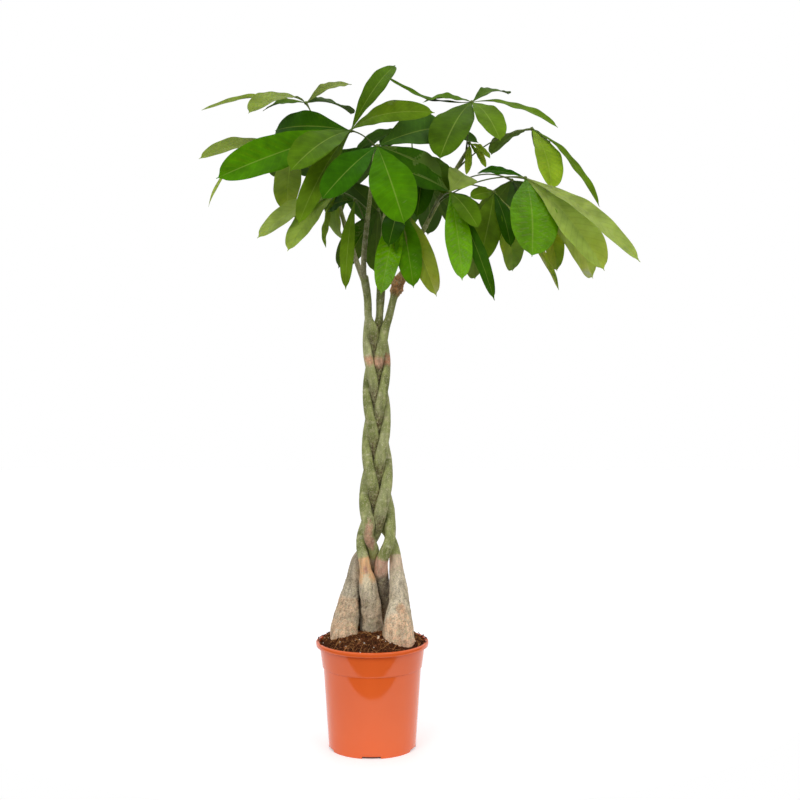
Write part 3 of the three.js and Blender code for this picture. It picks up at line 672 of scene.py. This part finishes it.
# Each shoot: the four control points of its axis, then its leaves. Each leaf: where its stalk leaves the
# shoot, its hub, where it looks, and its leaflets as turn, drop, length, width, colour and, where it isn't
# the usual one, the arch.
shoots = {
    "left": (((-14, 16, 866), (-30, 25, 900), (-60, 35, 1000), (-90, 50, 1110)), [
        (1, (-125, 70, 1204), (0, -0.6, 1), [
            (-126, 14, 165, 52, "dusty", 0.13), (-160, 7, 200, 18, "dusty"), (51, -22, 140, 34, "dusty"),
            (52, 2, 132, 58, "olive"), (150, 4, 100, 30, "olive")]),
        (0.85, (-144, 40, 1116), (-0.3, -0.7, 1), [
            (-157, 9, 185, 58, "dusty"), (180, 34, 195, 18, "pale", 0.22), (-95, 57, 150, 54, "dusty")]),
        (0.72, (-168, 130, 1122), (-0.4, 0.4, 1), fan(120, 170, 6, 16, 125, 48, back_fan_shade_tones)),
        (0.9, (-66, 168, 1078), (-0.2, 0.8, 0.9), fan(98, 165, 5, 31, 155, 50, back_fan_shade_tones))]),
    "front": (((-13, -15, 868), (-21, -32, 905), (0, -50, 1010), (7, -42, 1108)), [
        (1, (-36, -60, 1133), (-0.2, -1, 0.4), [
            (49, -48, 180, 38, "olive"), (-35, -5, 180, 42, "moss", 0.15), (144, -5, 180, 60, "deep"),
            (-160, 21, 262, 76, "bright", 0.04), (-127, 28, 185, 66, "olive"), (-134, 54, 215, 45, "moss")]),
        (0.93, (12, -120, 1098), (0, -1, 0.35), [
            (-63, 54, 177, 78, "bright"), (-138, 39, 160, 56, "mid"), (39, -16, 165, 70, "dull"),
            (22, 22, 134, 46, "deep")]),
        (0.6, (-61, -20, 1029), (-0.4, -1, 0.5), [
            (-149, 29, 185, 40, "sage"), (-135, 43, 165, 45, "pale"), (108, 48, 130, 18, "lime"),
            (88, 42, 120, 50, "pale")]),
        (0.5, (-29, -60, 1010), (-0.2, -1, 0.3), [(-100, 64, 180, 26, "moss"), (124, 5, 90, 30, "deep")])]),
    "middle": (((16, -9, 868), (22, -10, 910), (45, 0, 1010), (75, 15, 1100)), [
        (0.55, (52, -60, 1001), (0, -1, 0.35), [
            (-112, 61, 185, 44, "puckered"), (-73, 62, 170, 46, "bright"), (-48, 60, 190, 42, "dusty"),
            (-103, 41, 120, 40, "deep")]),
        (1, (70, 130, 1165), (0, 0.3, 1), fan(60, 210, 5, 6, 145, 48, back_fan_shade_tones)),
        (0.8, (100, 40, 1104), (0, -1, 0.45), [
            (-125, 47, 160, 54, "deep"), (-102, 55, 150, 50, "deep"), (-62, 44, 120, 48, "olive"),
            (-168, 36, 100, 40, "deep")])]),
    "right": (((46, -6, 862), (66, -20, 900), (120, -20, 1020), (178, 0, 1110)), [
        (0.97, (183, 0, 1194), (0, -0.5, 1), [
            (165, -19, 175, 15, "olive", -0.1), (160, -3, 95, 32, "olive"), (56, -14, 140, 40, "olive"),
            (-36, 19, 190, 24, "moss"), (-117, 41, 182, 74, "olive"), (-69, 35, 150, 50, "moss")]),
        (0.85, (295, 20, 1148), (0.4, -0.6, 0.8), [
            (127, 17, 120, 46, "moss"), (-72, 53, 150, 58, "lime"), (-40, 46, 210, 22, "moss"),
            (80, 10, 140, 46, "moss")]),
        (1, (178, -5, 1119), (0.3, -1, 0.5), [
            (-39, 51, 60, 14, "lime"), (-45, 32, 60, 14, "lime"), (-101, 60, 70, 14, "lime")]),
        (0.65, (274, -80, 1047), (0.35, -1, 0.5), [
            (-88, 57, 172, 90, "puckered"), (-30, 48, 225, 70, "pale"), (32, 48, 235, 72, "pale"),
            (-34, 35, 270, 35, "sage"), (44, 61, 185, 50, "pale"), (138, -9, 110, 22, "mid")]),
        (0.75, (221, -40, 1026), (0.2, -1, 0.5), [
            (-109, 54, 165, 50, "moss"), (65, 54, 170, 54, "pale"), (-72, 52, 130, 32, "deep"),
            (-140, 12, 60, 26, "moss"), (32, 49, 230, 16, "sage")]),
        (0.55, (139, -110, 1019), (0.1, -1, 0.4), [
            (-78, 61, 180, 46, "puckered"), (-43, 62, 216, 26, "deep"), (-58, 38, 110, 38, "olive"),
            (65, 51, 190, 46, "dusty"), (-160, -20, 110, 44, "deep"), (68, -24, 95, 56, "pale")]),
        (0.7, (270, 160, 1070), (0.5, 0.7, 0.9), fan(50, 180, 6, 28, 160, 54, back_fan_shade_tones))]),
    "back": (((20, 18, 866), (10, 45, 905), (25, 90, 1000), (35, 120, 1115)), [
        (1, (22, 192, 1138), (0, 0.5, 1), fan(100, 230, 6, 22, 165, 54, back_fan_shade_tones)),
        (0.75, (110, 210, 1060), (0.2, 0.9, 0.9), fan(70, 200, 6, 32, 165, 54, back_fan_shade_tones)),
        (0.5, (10, 130, 1010), (0, 1, 0.6), fan(95, 180, 5, 44, 160, 52, back_fan_shade_tones))]),
}


def bezier(points, t):
    points = [Vector(point) for point in points]
    while len(points) > 1:
        points = [low.lerp(high, t) for low, high in zip(points, points[1:])]
    return points[0]


def grow_leaflet(bm, layers, hub, look, turn, drop, length, width, tone, arch, phase):
    grid = bmesh.ops.create_grid(bm, x_segments=blade_across, y_segments=blade_along, size=0.5)["verts"]
    turn, drop = math.radians(turn), math.radians(drop)
    chord = Vector((math.cos(drop) * math.cos(turn), math.cos(drop) * math.sin(turn), -math.sin(drop)))
    up = (Vector(look) - chord * Vector(look).dot(chord)).normalized()
    side = chord.cross(up)
    quilt = blade_quilt.get(tone, plain_quilt)
    colour = tone_vector(blade_colours[tone]) * (1 + 0.1 * math.sin(7 * phase + length))
    for vert in grid:
        across, along = 2 * vert.co.x, vert.co.y + 0.5
        away = abs(across)
        body = min(along / 0.97, 1)
        bulge = max(math.sin(math.pi * body ** 1.5), 0) ** blend(0.75, 0.45, ease(along, 0.2, 0.9))
        drip = blend(1.4, 2.6, ease(along, 0, 0.9)) * (1 - 0.86 * ease(along, 0.95, 1))
        half = max(width / 2 * bulge, drip)
        slope = 4 * arch * (1 - 2 * along)
        normal = (up - chord * slope).normalized()
        inner = math.sin(math.pi * along)
        lift = 0.2 * half * away + 2 * math.sin(3.2 * math.pi * along + phase) * inner * away ** 2
        lift += 0.9 * math.sin(9 * math.pi * along + 2.3 * phase + across) * inner * away ** 3
        cell = 2 * math.pi * (along * vein_pairs - away * vein_slant)
        lift += quilt * math.cos(cell) * math.sin(math.pi * min(away * 1.15, 1)) * min(inner * 1.6, 1)
        lift -= 0.5 * math.exp(-(across * half / 1.3) ** 2) * inner
        spot = hub + chord * length * along + up * length * arch * 4 * along * (1 - along)
        vert.co = (spot + side * half * across + normal * lift) / 1000
        vert[layers["along"]] = along
        vert[layers["across"]] = across
        vert[layers["leaf_colour"]] = (*colour, 1)
    faces = list({face for vert in grid for face in vert.link_faces})
    for face in faces:
        face.material_index = blade_finish.get(tone, 0)
    shell = bmesh.ops.solidify(bm, geom=faces, thickness=blade_thickness / 1000)["geom"]
    for vert in shell:
        if isinstance(vert, bmesh.types.BMVert):
            vert[layers["under"]] = 1


for number, (side, (curve, leaves)) in enumerate(shoots.items()):
    bm = bmesh.new()
    layers = {name: bm.verts.layers.float.new(name) for name in ("along", "across", "under", "rough")}
    layers["leaf_colour"] = bm.verts.layers.float_color.new("leaf_colour")
    tone_layer = bm.verts.layers.float_color.new("bark_tone")
    axis = [bezier(curve, k / shoot_rings) / 1000 for k in range(shoot_rings + 1)]
    draw = random.Random(80 + number)
    nodes = [draw.uniform(0.02, 0.98) for _ in range(7)]

    def place_shoot(vert, ring, angle):
        part = ring / shoot_rings
        mark = max(math.exp(-((part - node) / 0.012) ** 2) for node in nodes)
        bump = noise.noise(Vector((math.cos(angle), math.sin(angle), part * 30 + number * 9)) * 1.5)
        tone = mingle(green_skin, deep_green_skin, 0.5 + bump)
        tone = mingle(tone, ring_skin, 0.5 * mark)
        # The right shoot grows out of a corky lump, and the two left ones keep old bark for a while.
        corky = 1 - ease(part + 0.04 * bump, 0.08, 0.17) if side == "right" else 0.0
        aged = 1 - ease(part + 0.2 * bump, 0.2, 0.6) if side in ("left", "front") else 0.0
        tone = mingle(mingle(tone, grey_bark, 0.45 * aged), callus * (1 + 0.6 * bump), 0.9 * corky)
        vert[tone_layer] = (*tone, 1)
        vert[layers["rough"]] = max(0.2, 0.7 * aged, corky)
        radius = blend(shoot_base, shoot_tip, part) + 0.3 * bump + 0.5 * mark + corky * (3 + 2.4 * bump)
        return radius / 1000

    for face in roll_tube(bm, axis, shoot_sides, place_shoot):
        face.material_index = 2
    for leaf_number, (at, hub, look, leaflets) in enumerate(leaves):
        start, end = bezier(curve, at), Vector(hub)
        bow = (start + end) / 2 + Vector((0, 0, 0.2 * (end - start).length))
        stalk = [bezier((start, bow, end), k / stalk_rings) / 1000 for k in range(stalk_rings + 1)]

        def place_stalk(vert, ring, angle):
            flare = 1.3 * ease(ring, stalk_rings - 3, stalk_rings) + 0.9 * (1 - ease(ring, 0, 3))
            return (stalk_radius + flare) / 1000

        for face in roll_tube(bm, stalk, stalk_sides, place_stalk):
            face.material_index = 1
        knuckle = bmesh.ops.create_icosphere(bm, subdivisions=2, radius=knuckle_radius / 1000)["verts"]
        bmesh.ops.translate(bm, vec=end / 1000, verts=knuckle)
        for face in {face for vert in knuckle for face in vert.link_faces}:
            face.material_index = 1
        for i, row in enumerate(leaflets):
            turn, drop, length, width, tone = row[:5]
            arch = row[5] if len(row) > 5 else usual_arch
            grow_leaflet(bm, layers, end, look, turn, drop, length, width, tone, arch, leaf_number + 2 * i)
    bmesh.ops.recalc_face_normals(bm, faces=bm.faces)
    shoot = new_piece(f"leafy_shoot_with_leaves_{side}", bm, firm_blade, stalk_skin, bark, thin_blade,
                      puckered_blade)
    shade(shoot, 70)
    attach(shoot, "root")
    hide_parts(f"leafy_shoot_{side}")
